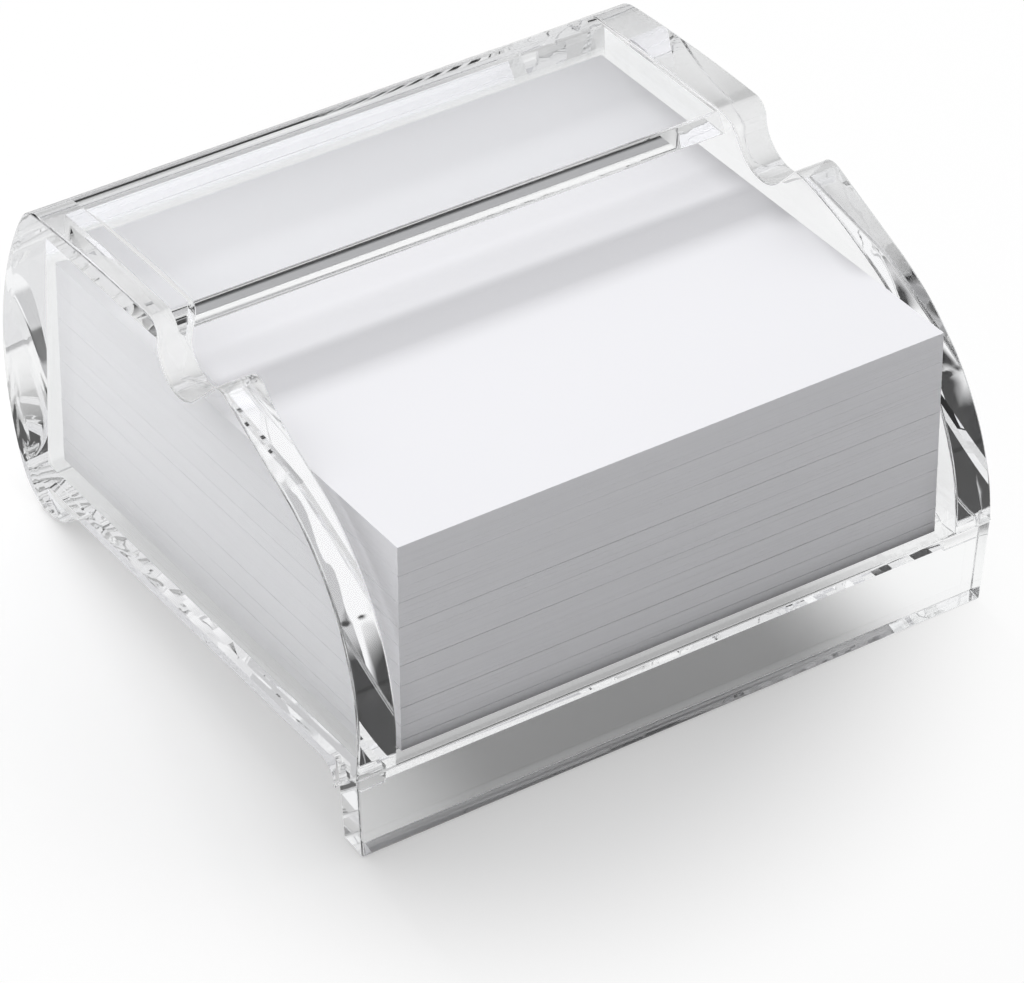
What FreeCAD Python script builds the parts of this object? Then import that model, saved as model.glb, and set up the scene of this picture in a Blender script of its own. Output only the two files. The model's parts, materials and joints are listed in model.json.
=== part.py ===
# Desk holder of thick clear acrylic for a block of loose memo sheets.
# Two profiled side panels, a top cover, a bowed rear wall and a base plate form a bay that is open
# to the front, and a full-width foot lifts the front so that the holder leans back and the sheets
# stay against the rear wall. A notch in each panel, in front of the cover, holds a pen.
#
# The pieces are modelled square to the base plate: X to the right, Y to the back, Z away from the
# base, with the origin at the middle of the sheets' lower front edge. At the end they are all
# turned to stand on a level desk: +Z up, front towards -Y, origin under the middle of the holder.

import FreeCAD
import Part
import math
import os

# Memo sheets
sheet_width = 90.0
sheet_depth = 84.0
stack_height = 34.0
top_sheet_thickness = 0.1
sheet_rest_gap = 0.02
bundle_edge_shift = 0.2
bundle_height_shares = (0.05, 0.07, 0.09, 0.11, 0.10, 0.10, 0.09, 0.12, 0.13, 0.14)
bundle_side_shift_shares = (0.4, -0.7, 0.9, -0.2, 0.6, -1.0, 0.3, -0.5, 0.8, 0.0)
bundle_front_shift_shares = (0.0, 0.8, 0.3, 1.0, 0.2, 0.7, 0.0, 0.9, 0.4, 0.6)

# Bay that holds the sheets
side_clearance = 2.1
rear_clearance = 0.6
headroom_over_sheets = 4.2

# Cover, rear wall and base plate
cover_thickness = 4.4
cover_depth = 31.0
rear_wall_thickness = 9.3
rear_wall_thickness_at_top = 2.53
base_thickness = 4.0

# Side panels, seen from the front
panel_thickness_at_base = 6.3
outer_lean_deg = 3.2
inner_lean_deg = 1.7
haunch_start_below_cover = 1.7
haunch_radius = 14.0

# Front edge and pen notch of the side panels
front_overhang = 2.2
front_arc_start_height = 2.8
front_arc_below_hump = 3.65
hump_radius = 2.8
hump_over_notch = 6.95
hump_to_notch_run = 2.1
pen_notch_radius = 5.7
pen_notch_over_sheets = 1.0
riser_ahead_of_cover = 3.0
riser_corner_radius = 2.7

# Top, rear and lower edge of the side panels
crown_over_cover = 1.1
crown_radius = 285.0
crown_ahead_of_cover_middle = 6.4
bow_above_middle = 1.25
rear_top_radius = 5.6
heel_radius = 9.0
heel_drop = 5.5
heel_fillet_radius = 2.8
panel_relief_drop = 1.8
hook_fillet_radius = 2.8
hook_land = 0.6

# Front foot
foot_thickness_at_top = 5.4
foot_front_taper = 0.6
foot_height = 14.15
foot_end_lean_deg = 3.6

# Cuts run this far past the pieces
overrun = 20.0

# Places worked out from the sizes above
bay_half_width = sheet_width / 2 + side_clearance
bay_depth = sheet_depth + rear_clearance
outer_half_width = bay_half_width + panel_thickness_at_base
cover_front = bay_depth - cover_depth
cover_underside = stack_height + headroom_over_sheets
cover_top = cover_underside + cover_thickness
crown_height = cover_top + crown_over_cover
panel_front = -front_overhang
riser_y = cover_front - riser_ahead_of_cover
pen_notch_bottom = stack_height + pen_notch_over_sheets
hump_height = pen_notch_bottom + hump_over_notch
foot_back = panel_front + foot_thickness_at_top
rear_most = bay_depth + rear_wall_thickness
bow_height = (cover_top - heel_drop) / 2 + bow_above_middle


def side_point(y, z):
    """Point of a side view, in the middle plane."""
    return FreeCAD.Vector(0, y, z)


def on_circle(centre, radius, angle):
    """Point of a circle of the side view, the angle from +Y towards +Z."""
    return centre + side_point(radius * math.cos(angle), radius * math.sin(angle))


def direction_angle(start, end):
    """Angle from +Y towards +Z of the line from start to end."""
    return math.atan2(end.z - start.z, end.y - start.y)


def line(start, end):
    return Part.LineSegment(start, end).toShape()


def arc(centre, start, end):
    """Arc of less than half a circle from start to end."""
    radius = (start - centre).Length
    middle = (start + end) * 0.5 - centre
    middle.normalize()
    return Part.Arc(start, centre + middle * radius, end).toShape()


def beside(centre, distance, other_centre, other_distance, side):
    """Point at the given distances from two centres, on the left (+1) or right (-1) of their line."""
    span = (other_centre - centre).Length
    along = (span ** 2 + distance ** 2 - other_distance ** 2) / (2 * span)
    turn = math.acos(along / distance)
    return on_circle(centre, distance, direction_angle(centre, other_centre) + side * turn)


def touch_point(centre, radius, other_centre):
    """Point of a circle that faces another circle's centre."""
    return on_circle(centre, radius, direction_angle(centre, other_centre))


def far_touch_point(centre, radius, other_centre):
    """Point of a circle that faces away from another circle's centre."""
    return on_circle(centre, -radius, direction_angle(centre, other_centre))


def front_edges():
    """Front edge, hump and pen notch of the panel's outline, up to the riser's foot."""
    front_arc_radius = hump_height - front_arc_below_hump - front_arc_start_height
    arc_centre = side_point(panel_front + front_arc_radius, front_arc_start_height)
    notch_centre = side_point(riser_y - pen_notch_radius, pen_notch_bottom + pen_notch_radius)
    hump_y = notch_centre.y - pen_notch_radius - hump_to_notch_run - hump_radius
    hump_centre = side_point(hump_y, hump_height - hump_radius)

    ramp_span = (hump_centre - arc_centre).Length
    ramp_turn = math.acos((front_arc_radius - hump_radius) / ramp_span)
    ramp_angle = direction_angle(arc_centre, hump_centre) + ramp_turn
    ramp_start = on_circle(arc_centre, front_arc_radius, ramp_angle)
    ramp_end = on_circle(hump_centre, hump_radius, ramp_angle)

    drop_span = (notch_centre - hump_centre).Length
    drop_turn = math.acos((hump_radius + pen_notch_radius) / drop_span)
    drop_angle = direction_angle(hump_centre, notch_centre) + drop_turn
    drop_start = on_circle(hump_centre, hump_radius, drop_angle)
    drop_end = on_circle(notch_centre, -pen_notch_radius, drop_angle)

    toe = side_point(panel_front, 0)
    arc_start = side_point(panel_front, front_arc_start_height)
    riser_foot = side_point(riser_y, notch_centre.z)
    return [
        line(toe, arc_start),
        arc(arc_centre, arc_start, ramp_start),
        line(ramp_start, ramp_end),
        arc(hump_centre, ramp_end, drop_start),
        line(drop_start, drop_end),
        arc(notch_centre, drop_end, riser_foot),
    ]


def rear_bow():
    """Centre and radius of the bowed rear edge, by its middle and the wall's thickness at the top."""
    rise = cover_top - bow_height
    setback = rear_wall_thickness - rear_wall_thickness_at_top
    radius = (rise ** 2 + setback ** 2) / (2 * setback)
    return side_point(rear_most - radius, bow_height), radius


def heel_centre():
    """Centre of the rounded heel that the holder rests on at the back."""
    bow_centre, bow_radius = rear_bow()
    height = heel_radius - heel_drop
    reach = math.sqrt((bow_radius - heel_radius) ** 2 - (height - bow_centre.z) ** 2)
    return side_point(bow_centre.y + reach, height)


def top_and_rear_edges(riser_foot):
    """Riser, crowned top, bowed rear edge and heel, up to the relief under the base."""
    corner_y = riser_y + riser_corner_radius
    crown_y = cover_front + cover_depth / 2 - crown_ahead_of_cover_middle
    crown_centre = side_point(crown_y, crown_height - crown_radius)
    corner_reach = crown_radius - riser_corner_radius
    corner_rise = math.sqrt(corner_reach ** 2 - (corner_y - crown_centre.y) ** 2)
    corner_centre = side_point(corner_y, crown_centre.z + corner_rise)
    corner_start = side_point(riser_y, corner_centre.z)
    corner_end = far_touch_point(corner_centre, riser_corner_radius, crown_centre)

    bow_centre, bow_radius = rear_bow()
    top_centre = beside(bow_centre, bow_radius - rear_top_radius, crown_centre, crown_radius - rear_top_radius, 1)
    top_start = far_touch_point(top_centre, rear_top_radius, crown_centre)
    top_end = far_touch_point(top_centre, rear_top_radius, bow_centre)

    heel = heel_centre()
    heel_start = far_touch_point(heel, heel_radius, bow_centre)
    fillet_z = -panel_relief_drop - heel_fillet_radius
    fillet_reach = math.sqrt((heel_radius + heel_fillet_radius) ** 2 - (heel.z - fillet_z) ** 2)
    fillet_centre = side_point(heel.y - fillet_reach, fillet_z)
    heel_end = touch_point(heel, heel_radius, fillet_centre)
    fillet_end = side_point(fillet_centre.y, -panel_relief_drop)
    return [
        line(riser_foot, corner_start),
        arc(corner_centre, corner_start, corner_end),
        arc(crown_centre, corner_end, top_start),
        arc(top_centre, top_start, top_end),
        arc(bow_centre, top_end, heel_start),
        arc(heel, heel_start, heel_end),
        arc(fillet_centre, heel_end, fillet_end),
    ]


def lower_edges(relief_end):
    """Relieved lower edge and the hook that grips the back of the foot."""
    hook_back = foot_back + hook_land
    hook_bottom = -panel_relief_drop - hook_fillet_radius
    relief_start = side_point(hook_back + hook_fillet_radius, -panel_relief_drop)
    hook_centre = side_point(relief_start.y, hook_bottom)
    hook_corner = side_point(hook_back, hook_bottom)
    hook_tip = side_point(foot_back, hook_bottom)
    hook_root = side_point(foot_back, 0)
    return [
        line(relief_end, relief_start),
        arc(hook_centre, relief_start, hook_corner),
        line(hook_corner, hook_tip),
        line(hook_tip, hook_root),
        line(hook_root, side_point(panel_front, 0)),
    ]


def end_of(edge):
    """Point where an edge of the outline ends and the next one starts."""
    return edge.valueAt(edge.LastParameter)


def side_profile_block():
    """Solid of the panel's side profile, right across the holder and past both sides."""
    front = front_edges()
    rear = top_and_rear_edges(end_of(front[-1]))
    lower = lower_edges(end_of(rear[-1]))
    outline = Part.Wire(front + rear + lower)
    half_length = outer_half_width + overrun
    outline.translate(FreeCAD.Vector(-half_length, 0, 0))
    return Part.Face(outline).extrude(FreeCAD.Vector(2 * half_length, 0, 0))


def along_y(edges):
    """Solid of a front-view outline, right through the holder from front to back."""
    outline = Part.Wire(Part.sortEdges(edges)[0])
    start = panel_front - overrun
    end = rear_most + overrun
    outline.translate(FreeCAD.Vector(0, start, 0))
    return Part.Face(outline).extrude(FreeCAD.Vector(0, end - start, 0))


def bay_block():
    """Space between the side panels: leaning walls that round in towards each other at the top."""
    slope = math.tan(math.radians(inner_lean_deg))
    low = -heel_drop - overrun
    haunch_start_height = cover_underside - haunch_start_below_cover
    haunch_half_width = bay_half_width - slope * haunch_start_height
    lean = math.radians(inner_lean_deg)
    centre_x = haunch_half_width - haunch_radius * math.cos(lean)
    centre_z = haunch_start_height - haunch_radius * math.sin(lean)
    top_z = crown_height
    top_turn = math.asin((top_z - centre_z) / haunch_radius)
    top_x = centre_x + haunch_radius * math.cos(top_turn)
    middle_turn = (lean + top_turn) / 2
    middle_x = centre_x + haunch_radius * math.cos(middle_turn)
    middle_z = centre_z + haunch_radius * math.sin(middle_turn)
    low_x = bay_half_width - slope * low

    def front_point(side, x, z):
        return FreeCAD.Vector(side * x, 0, z)

    edges = [line(front_point(-1, low_x, low), front_point(1, low_x, low))]
    for side in (-1, 1):
        haunch_start = front_point(side, haunch_half_width, haunch_start_height)
        haunch_middle = front_point(side, middle_x, middle_z)
        haunch_end = front_point(side, top_x, top_z)
        edges.append(line(front_point(side, low_x, low), haunch_start))
        edges.append(Part.Arc(haunch_start, haunch_middle, haunch_end).toShape())
        edges.append(line(haunch_end, front_point(side, top_x, top_z + overrun)))
    edges.append(line(front_point(-1, top_x, top_z + overrun), front_point(1, top_x, top_z + overrun)))
    return along_y(edges)


def outer_block():
    """Everything between the leaning outer faces of the side panels."""
    slope = math.tan(math.radians(outer_lean_deg))
    low = -heel_drop - overrun
    high = crown_height + overrun
    low_x = outer_half_width - slope * low
    high_x = outer_half_width - slope * high
    corners = [
        FreeCAD.Vector(-low_x, 0, low),
        FreeCAD.Vector(low_x, 0, low),
        FreeCAD.Vector(high_x, 0, high),
        FreeCAD.Vector(-high_x, 0, high),
    ]
    return along_y([line(a, b) for a, b in zip(corners, corners[1:] + corners[:1])])


def box_between(low, high):
    size = high - low
    return Part.makeBox(size.x, size.y, size.z, low)


def side_panels():
    """Left and right panel: the side profile between the outer and the inner leaning faces."""
    both = side_profile_block().common(outer_block()).cut(bay_block())
    left, right = sorted(both.Solids, key=lambda solid: solid.CenterOfMass.x)
    return left, right


def top_cover():
    """Flat cover between the panels, from its polished front edge to the rear wall."""
    low = FreeCAD.Vector(-outer_half_width, cover_front, cover_underside)
    high = FreeCAD.Vector(outer_half_width, bay_depth, cover_top)
    return box_between(low, high).common(bay_block())


def base_plate():
    """Plate under the sheets, from the back of the foot to the rear wall."""
    low = FreeCAD.Vector(-outer_half_width, foot_back, -base_thickness)
    high = FreeCAD.Vector(outer_half_width, bay_depth, 0)
    return box_between(low, high).common(bay_block())


def rear_wall():
    """Wall with a flat inner face, bowed outside like the panels and level with the cover."""
    low = FreeCAD.Vector(-outer_half_width, bay_depth, -heel_drop - overrun)
    high = FreeCAD.Vector(outer_half_width, rear_most + overrun, cover_top)
    return side_profile_block().common(bay_block()).common(box_between(low, high))


def lean_back_angle():
    """Angle of the base when the foot's lower front edge and the round heels stand on a level desk."""
    toe = foot_toe()
    heel = heel_centre()
    rise = direction_angle(toe, heel)
    return rise - math.asin(heel_radius / (heel - toe).Length)


def foot_toe():
    """Lower front edge of the foot in the side view."""
    return side_point(panel_front + foot_front_taper, -foot_height)


def front_foot():
    """Full-width strip under the front, tapered, with its lower face ground level with the desk."""
    toe = foot_toe()
    sole_rise = (foot_back - toe.y) * math.tan(lean_back_angle())
    corners = [
        side_point(panel_front, 0),
        toe,
        side_point(foot_back, toe.z + sole_rise),
        side_point(foot_back, 0),
    ]
    outline = Part.makePolygon(corners + corners[:1])
    outline.translate(FreeCAD.Vector(-outer_half_width, 0, 0))
    strip = Part.Face(outline).extrude(FreeCAD.Vector(2 * outer_half_width, 0, 0))

    draw_in = foot_height * math.tan(math.radians(foot_end_lean_deg))
    low_x = outer_half_width - draw_in
    ends = [
        FreeCAD.Vector(-outer_half_width, 0, 0),
        FreeCAD.Vector(outer_half_width, 0, 0),
        FreeCAD.Vector(low_x, 0, -foot_height),
        FreeCAD.Vector(-low_x, 0, -foot_height),
    ]
    return strip.common(along_y([line(a, b) for a, b in zip(ends, ends[1:] + ends[:1])]))


def sheet_block(bottom, thickness, side_shift, front_shift):
    """Sheets from one height up, moved a little sideways and back as loose sheets lie."""
    corner = FreeCAD.Vector(-sheet_width / 2 + side_shift, front_shift, bottom)
    return Part.makeBox(sheet_width, sheet_depth, thickness, corner)


def memo_sheets():
    """The block of loose sheets in the bundles whose edges show, from the bottom up, and the top sheet."""
    bundled_height = stack_height - top_sheet_thickness - 2 * sheet_rest_gap
    pieces = {}
    bottom = sheet_rest_gap
    shares = zip(bundle_height_shares, bundle_side_shift_shares, bundle_front_shift_shares)
    for number, (height_share, side_share, front_share) in enumerate(shares, start=1):
        thickness = bundled_height * height_share
        side_shift = bundle_edge_shift * side_share
        front_shift = bundle_edge_shift * front_share
        pieces[f"memo_sheets_{number:02d}"] = sheet_block(bottom, thickness, side_shift, front_shift)
        bottom = bottom + thickness
    pieces["top_memo_sheet"] = sheet_block(bottom + sheet_rest_gap, top_sheet_thickness, 0, 0)
    return pieces


def stand_on_desk(pieces):
    """Lean every piece back onto the foot and the heels, over the middle of the holder's outline."""
    lean = FreeCAD.Rotation(FreeCAD.Vector(1, 0, 0), math.degrees(-lean_back_angle()))
    for shape in pieces.values():
        shape.Placement = FreeCAD.Placement(FreeCAD.Vector(0, 0, 0), lean).multiply(shape.Placement)
    outline = Part.makeCompound(list(pieces.values())).optimalBoundingBox(False, False)
    middle = FreeCAD.Vector(0, -(outline.YMin + outline.YMax) / 2, -outline.ZMin)
    for shape in pieces.values():
        shape.translate(middle)
    return middle


def main():
    left, right = side_panels()
    pieces = {
        "left_side_panel": left,
        "right_side_panel": right,
        "top_cover": top_cover(),
        "rear_wall": rear_wall(),
        "base_plate": base_plate(),
        "front_foot": front_foot(),
    }
    pieces.update(memo_sheets())
    middle = stand_on_desk(pieces)
    os.makedirs("parts", exist_ok=True)
    for name, shape in pieces.items():
        shape.exportStep(f"parts/{name}.step")
        box = shape.BoundBox
        print(name, len(shape.Solids), round(shape.Volume, 1), shape.isValid())
        print("    x", round(box.XMin, 3), round(box.XMax, 3), "y", round(box.YMin, 3), round(box.YMax, 3),
              "z", round(box.ZMin, 3), round(box.ZMax, 3))
    print("lean back, degrees", round(math.degrees(lean_back_angle()), 4))
    print("moved to the middle by", middle)


main()
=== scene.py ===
import bpy
import json
import math
import numpy as np
from mathutils import Matrix, Vector
from mathutils.geometry import delaunay_2d_cdt


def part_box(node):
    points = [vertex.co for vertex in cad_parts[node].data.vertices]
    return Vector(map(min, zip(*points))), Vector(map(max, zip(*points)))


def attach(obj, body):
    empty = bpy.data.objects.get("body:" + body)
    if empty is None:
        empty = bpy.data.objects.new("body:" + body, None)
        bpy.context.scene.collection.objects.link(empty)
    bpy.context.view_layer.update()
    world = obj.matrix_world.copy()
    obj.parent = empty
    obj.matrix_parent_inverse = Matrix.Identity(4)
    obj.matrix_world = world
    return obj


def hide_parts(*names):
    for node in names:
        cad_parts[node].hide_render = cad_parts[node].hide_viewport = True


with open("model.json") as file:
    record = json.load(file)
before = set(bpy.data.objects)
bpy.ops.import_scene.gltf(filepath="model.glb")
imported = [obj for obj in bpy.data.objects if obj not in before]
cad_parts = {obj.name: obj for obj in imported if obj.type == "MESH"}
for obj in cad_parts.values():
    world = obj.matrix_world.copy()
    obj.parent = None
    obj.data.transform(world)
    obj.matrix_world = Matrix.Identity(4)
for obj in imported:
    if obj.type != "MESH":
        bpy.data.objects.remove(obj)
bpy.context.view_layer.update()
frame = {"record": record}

# Side panels
# Two thick profiled panels of polished clear acrylic, one piece of sheet each, with drafted faces and
# softened edges. They are bonded to the cover, the rear wall, the base plate and the foot.

mm = 0.001
edge_radius = 0.35 * mm
outline_step = 0.6 * mm
fewest_arc_points = 6
rounding_steps = 4
panel_thickness_at_base = 6.3 * mm
outer_lean = math.radians(3.2)
inner_lean = math.radians(1.7)
bay_half_width = 47.1 * mm
bay_depth = 84.6 * mm
cover_front = 53.6 * mm
cover_underside = 38.2 * mm
cover_top = 42.6 * mm
base_thickness = 4.0 * mm
foot_back = 3.2 * mm
haunch_start = 36.5 * mm
haunch_radius = 14.0 * mm
highest_haunch = 0.99 * haunch_radius
panel_front = -2.2 * mm
front_arc_start = 2.8 * mm
front_arc_radius = 35.5 * mm
hump_radius = 2.8 * mm
hump_centre = np.array([34.3 * mm, 39.15 * mm])
notch_radius = 5.7 * mm
notch_centre = np.array([44.9 * mm, 40.7 * mm])
riser_y = 50.6 * mm
riser_corner_radius = 2.7 * mm
crown_radius = 285.0 * mm
crown_centre = np.array([62.7 * mm, 43.7 * mm - crown_radius])
rear_most = 93.9 * mm
rear_wall_thickness_at_top = 2.53 * mm
bow_height = 19.8 * mm
rear_top_radius = 5.6 * mm
heel_radius = 9.0 * mm
heel_drop = 5.5 * mm
heel_fillet_radius = 2.8 * mm
relief_height = -1.8 * mm
hook_back = 3.8 * mm

# The holder leans back: the sheets' slide runs along the base, and the base plate's box says where it is
slide_axis = Vector(frame["record"]["behaviour"]["joints"][0]["axis"]).normalized()
lean_cos = -slide_axis.y
lean_sin = slide_axis.z
base_low, base_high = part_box("base_plate")
lean_origin_y = base_low[1] - foot_back * lean_cos + base_thickness * lean_sin
lean_origin_z = base_high[2] + foot_back * lean_sin


def stood_on_desk(points):
    """Points square to the base plate, turned back by the lean and set down on the desk."""
    x, y, z = np.moveaxis(np.asarray(points, float), -1, 0)
    leaned_y = y * lean_cos + z * lean_sin + lean_origin_y
    leaned_z = z * lean_cos - y * lean_sin + lean_origin_z
    return np.stack([x, leaned_y, leaned_z], axis=-1)


def turned_back(directions):
    """Directions square to the base plate, turned back by the lean."""
    x, y, z = np.moveaxis(np.asarray(directions, float), -1, 0)
    return np.stack([x, y * lean_cos + z * lean_sin, z * lean_cos - y * lean_sin], axis=-1)


def on_circle(centre, radius, turn):
    """Point at an angle from +Y towards +Z on a circle of the side view."""
    return centre + radius * np.array([math.cos(turn), math.sin(turn)])


def turn_between(start, end):
    """Angle of the way from one point of the side view to another, from +Y towards +Z."""
    return math.atan2(end[1] - start[1], end[0] - start[0])


def straight(start, end):
    """Points of a straight run clockwise round an outline, and its outward direction on the left."""
    start, end = np.asarray(start, float), np.asarray(end, float)
    count = max(2, int(np.linalg.norm(end - start) / outline_step) + 1)
    points = start + np.linspace(0, 1, count)[:, None] * (end - start)
    along = (end - start) / np.linalg.norm(end - start)
    outward = np.tile([-along[1], along[0]], (count, 1))
    return points, outward


def rounded(centre, radius, start, end):
    """Points of an arc from one angle to another. A falling angle is a convex arc, a rising one concave."""
    count = max(fewest_arc_points, int(abs(end - start) * radius / outline_step) + 1)
    turns = np.linspace(start, end, count)
    radial = np.stack([np.cos(turns), np.sin(turns)], axis=1)
    outward = radial if end < start else -radial
    return centre + radius * radial, outward


def bay_side(z):
    """Inner face of a side panel: a straight lean, then an arc that rounds in over the bay."""
    z = np.asarray(z, float)
    straight_x = bay_half_width - math.tan(inner_lean) * z
    start_x = bay_half_width - math.tan(inner_lean) * haunch_start
    centre_x = start_x - haunch_radius * math.cos(inner_lean)
    centre_z = haunch_start - haunch_radius * math.sin(inner_lean)
    rise = np.clip(z - centre_z, 0, highest_haunch)
    return np.where(z > haunch_start, centre_x + np.sqrt(haunch_radius ** 2 - rise ** 2), straight_x)


def outer_side(z):
    """Outer face of a side panel: a straight lean."""
    return bay_half_width + panel_thickness_at_base - math.tan(outer_lean) * np.asarray(z, float)


ripple_length = 1.05 * mm
ripple_drift = 5.3 * mm
ripple_bend = 1.5
ripple_sway = 0.9
wave_fade = 2.4 * mm


def ripple(along, share):
    """Slight ripples that polishing leaves along an edge, from 0 to 1: a sine along the edge whose phase
    drifts slowly and bends into an S from one side of the edge to the other."""
    bend = ripple_bend * np.sin(2 * math.pi * share + along / ripple_drift)
    sway = ripple_sway * np.sin(along / ripple_drift)
    return 0.5 + 0.5 * np.sin(along / ripple_length + sway + bend)


class Outline:
    """Side view of a clear piece: runs of points clockwise, with what each run needs for its edges."""

    def __init__(self):
        self.points, self.outward, self.low_edge, self.high_edge = [], [], [], []
        self.waves, self.bonds, self.rims, self.along, self.length = [], [], [], [], 0.0

    def add(self, run, low_edge=0.0, high_edge=0.0, waves=0.0, bond=False, rim=False):
        """Adds a run with the edge radius at the low-x and high-x end, its waves, if it is bonded, and if
        it is a rim, a narrow edge of the sheet."""
        points, outward = run
        count = len(points)
        steps = np.linalg.norm(np.diff(points, axis=0), axis=1)
        along = self.length + np.concatenate([[0.0], np.cumsum(steps)])
        self.length = along[-1]
        self.points.append(points)
        self.outward.append(outward)
        self.along.append(along)
        self.low_edge.append(np.full(count, low_edge))
        self.high_edge.append(np.full(count, high_edge))
        self.waves.append(np.full(count, waves))
        self.bonds.append(np.full(count, bond))
        self.rims.append(np.full(count, rim))

    def joined(self):
        """All runs as one closed ring. The waves' height fades out over a few points at each end of a run."""
        names = ("points", "outward", "along", "low_edge", "high_edge", "waves", "bonds", "rims")
        closed = {}
        for name in names:
            whole = np.concatenate(getattr(self, name))
            closed[name] = np.concatenate([whole, whole[:1]])
        closed["along"][-1] = self.length
        reach = int(wave_fade / outline_step)
        window = np.hanning(2 * reach + 3)[1:-1]
        closed["waves"] = np.convolve(closed["waves"], window / window.sum(), "same")
        return closed


def slope_of(side, z):
    """Slope of an end face at a height: how far it moves across over a small nudge up and down."""
    nudge = 0.01 * mm
    return (side(z + nudge) - side(z - nudge)) / (2 * nudge)


def cap_normals(side, z, facing):
    """Outward direction of an end face that lies at x = side(z): across, tipped by the side's slope."""
    across = np.stack([np.full_like(z, facing), np.zeros_like(z), -facing * slope_of(side, z)], axis=-1)
    return across / np.linalg.norm(across, axis=-1, keepdims=True)


def swept_rows(shape, low_side, high_side, stations, split_share):
    """Rows of the skin round an outline from its low-x end face to its high-x end face.

    Near each end a row is drawn in by radius * (1 - cos turn) and set back by radius * (1 - sin turn),
    which rounds the edge. Between them the rows lie on the outline at the given shares of the width. With a
    split share, the rows at that share from each end lie on the bay's sides."""
    turns = np.linspace(math.pi / 2, 0, rounding_steps + 1)
    rows, normals = [], []

    def between_ends(z, share):
        """Place across at a share of the width, in straight steps from one rounded edge to the other."""
        low, high = low_side(z) + shape["low_edge"], high_side(z) - shape["high_edge"]
        if not split_share:
            return low * (1 - share) + high * share
        knots = [(0.0, low), (split_share, -bay_side(z)), (1 - split_share, bay_side(z)), (1.0, high)]
        below = sum(share > place for place, _ in knots[1:-1])
        (start, start_x), (end, end_x) = knots[below:below + 2]
        part = (share - start) / (end - start)
        return start_x * (1 - part) + end_x * part

    def row(x_of, edge, turn, side, facing):
        """Adds the outline drawn in, at the places across that x_of gives, and its outward directions."""
        drawn_in = edge * (1 - math.cos(turn))
        points = shape["points"] - shape["outward"] * drawn_in[:, None]
        x = x_of(points[:, 1])
        low, high = low_side(points[:, 1]), high_side(points[:, 1])

        def dip(along, x):
            """Depth of the waves: their height times the ripple, rising from 0 at both ends to 1 between."""
            share = np.clip((x - low) / (high - low), 0, 1)
            height = np.interp(along, shape["along"], shape["waves"])
            return height * 4 * share * (1 - share) * ripple(along, share)

        nudge = 0.05 * mm
        fall_along = (dip(shape["along"] + nudge, x) - dip(shape["along"] - nudge, x)) / (2 * nudge)
        fall_across = (dip(shape["along"], x + nudge) - dip(shape["along"], x - nudge)) / (2 * nudge)
        tangent = np.stack([shape["outward"][:, 1], -shape["outward"][:, 0]], axis=1)
        points = points - shape["outward"] * dip(shape["along"], x)[:, None]
        normal = np.column_stack([fall_across, shape["outward"] + tangent * fall_along[:, None]])
        if side is not None:
            cap = cap_normals(side, points[:, 1], facing)
            normal = math.cos(turn) * normal + math.sin(turn) * cap
        rows.append(np.column_stack([x, points]))
        normals.append(normal / np.linalg.norm(normal, axis=1, keepdims=True))

    for turn in turns:
        edge = shape["low_edge"]
        row(lambda z: low_side(z) + edge * (1 - math.sin(turn)), edge, turn, low_side, -1.0)
    for share in stations:
        row(lambda z: between_ends(z, share), np.zeros_like(shape["low_edge"]), 0.0, None, 0.0)
    for turn in turns[::-1]:
        edge = shape["high_edge"]
        row(lambda z: high_side(z) - edge * (1 - math.sin(turn)), edge, turn, high_side, 1.0)
    return np.array(rows), np.array(normals)


def skin_triangles(rows, columns):
    """Two triangles for each cell of a grid of rows by columns, with the outside on the left of the run."""
    i, j = np.meshgrid(np.arange(rows - 1), np.arange(columns - 1), indexing="ij")
    first = (i * columns + j).ravel()
    corners = np.stack([first, first + columns, first + columns + 1, first + 1], axis=1)
    return np.concatenate([corners[:, [0, 1, 2]], corners[:, [0, 2, 3]]])


def inside(ring, points):
    """True for points inside a ring: an upright line from the point crosses it an odd number of times."""
    start, end = ring, np.roll(ring, -1, axis=0)
    y, z = points[:, None, 0], points[:, None, 1]
    spans = (start[:, 0] > y) != (end[:, 0] > y)
    run = np.where(end[:, 0] == start[:, 0], 1.0, end[:, 0] - start[:, 0])
    crossing = start[:, 1] + (y - start[:, 0]) / run * (end[:, 1] - start[:, 1])
    return (spans & (crossing > z)).sum(axis=1) % 2 == 1


grid_step = 2.0 * mm
same_point_mm = 1e-6


def end_face(ring, side, facing, fold_lines):
    """End face inside a ring of the side view, split along fold lines, and laid on x = side(z).

    A constrained Delaunay triangulation, worked out in millimetres, joins the ring, the fold lines and a
    grid of points."""
    ring = ring[:-1]
    low, high = ring.min(axis=0), ring.max(axis=0)
    spread = [np.arange(low[k] + grid_step / 2, high[k], grid_step) for k in (0, 1)]
    grid = np.stack(np.meshgrid(*spread), axis=-1).reshape(-1, 2)
    points, edges = list(ring), [(k, (k + 1) % len(ring)) for k in range(len(ring))]
    for start, end in fold_lines:
        edges.append((len(points), len(points) + 1))
        points += [np.array(start), np.array(end)]
    points += list(grid)
    scale = 1 / mm
    flat = [Vector(point * scale) for point in points]
    found, _, triangles, _, _, _ = delaunay_2d_cdt(flat, edges, [], 0, same_point_mm, True)
    found = np.array([tuple(point) for point in found]) / scale
    triangles = np.array(triangles)
    triangles = triangles[inside(ring, found[triangles].mean(axis=1))]
    if facing < 0:
        triangles = triangles[:, ::-1]
    placed = np.column_stack([side(found[:, 1]), found])
    return placed, cap_normals(side, found[:, 1], facing), triangles


merging_step = 0.0005 * mm
open_slot, bonded_slot, rim_slot = range(3)


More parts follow.
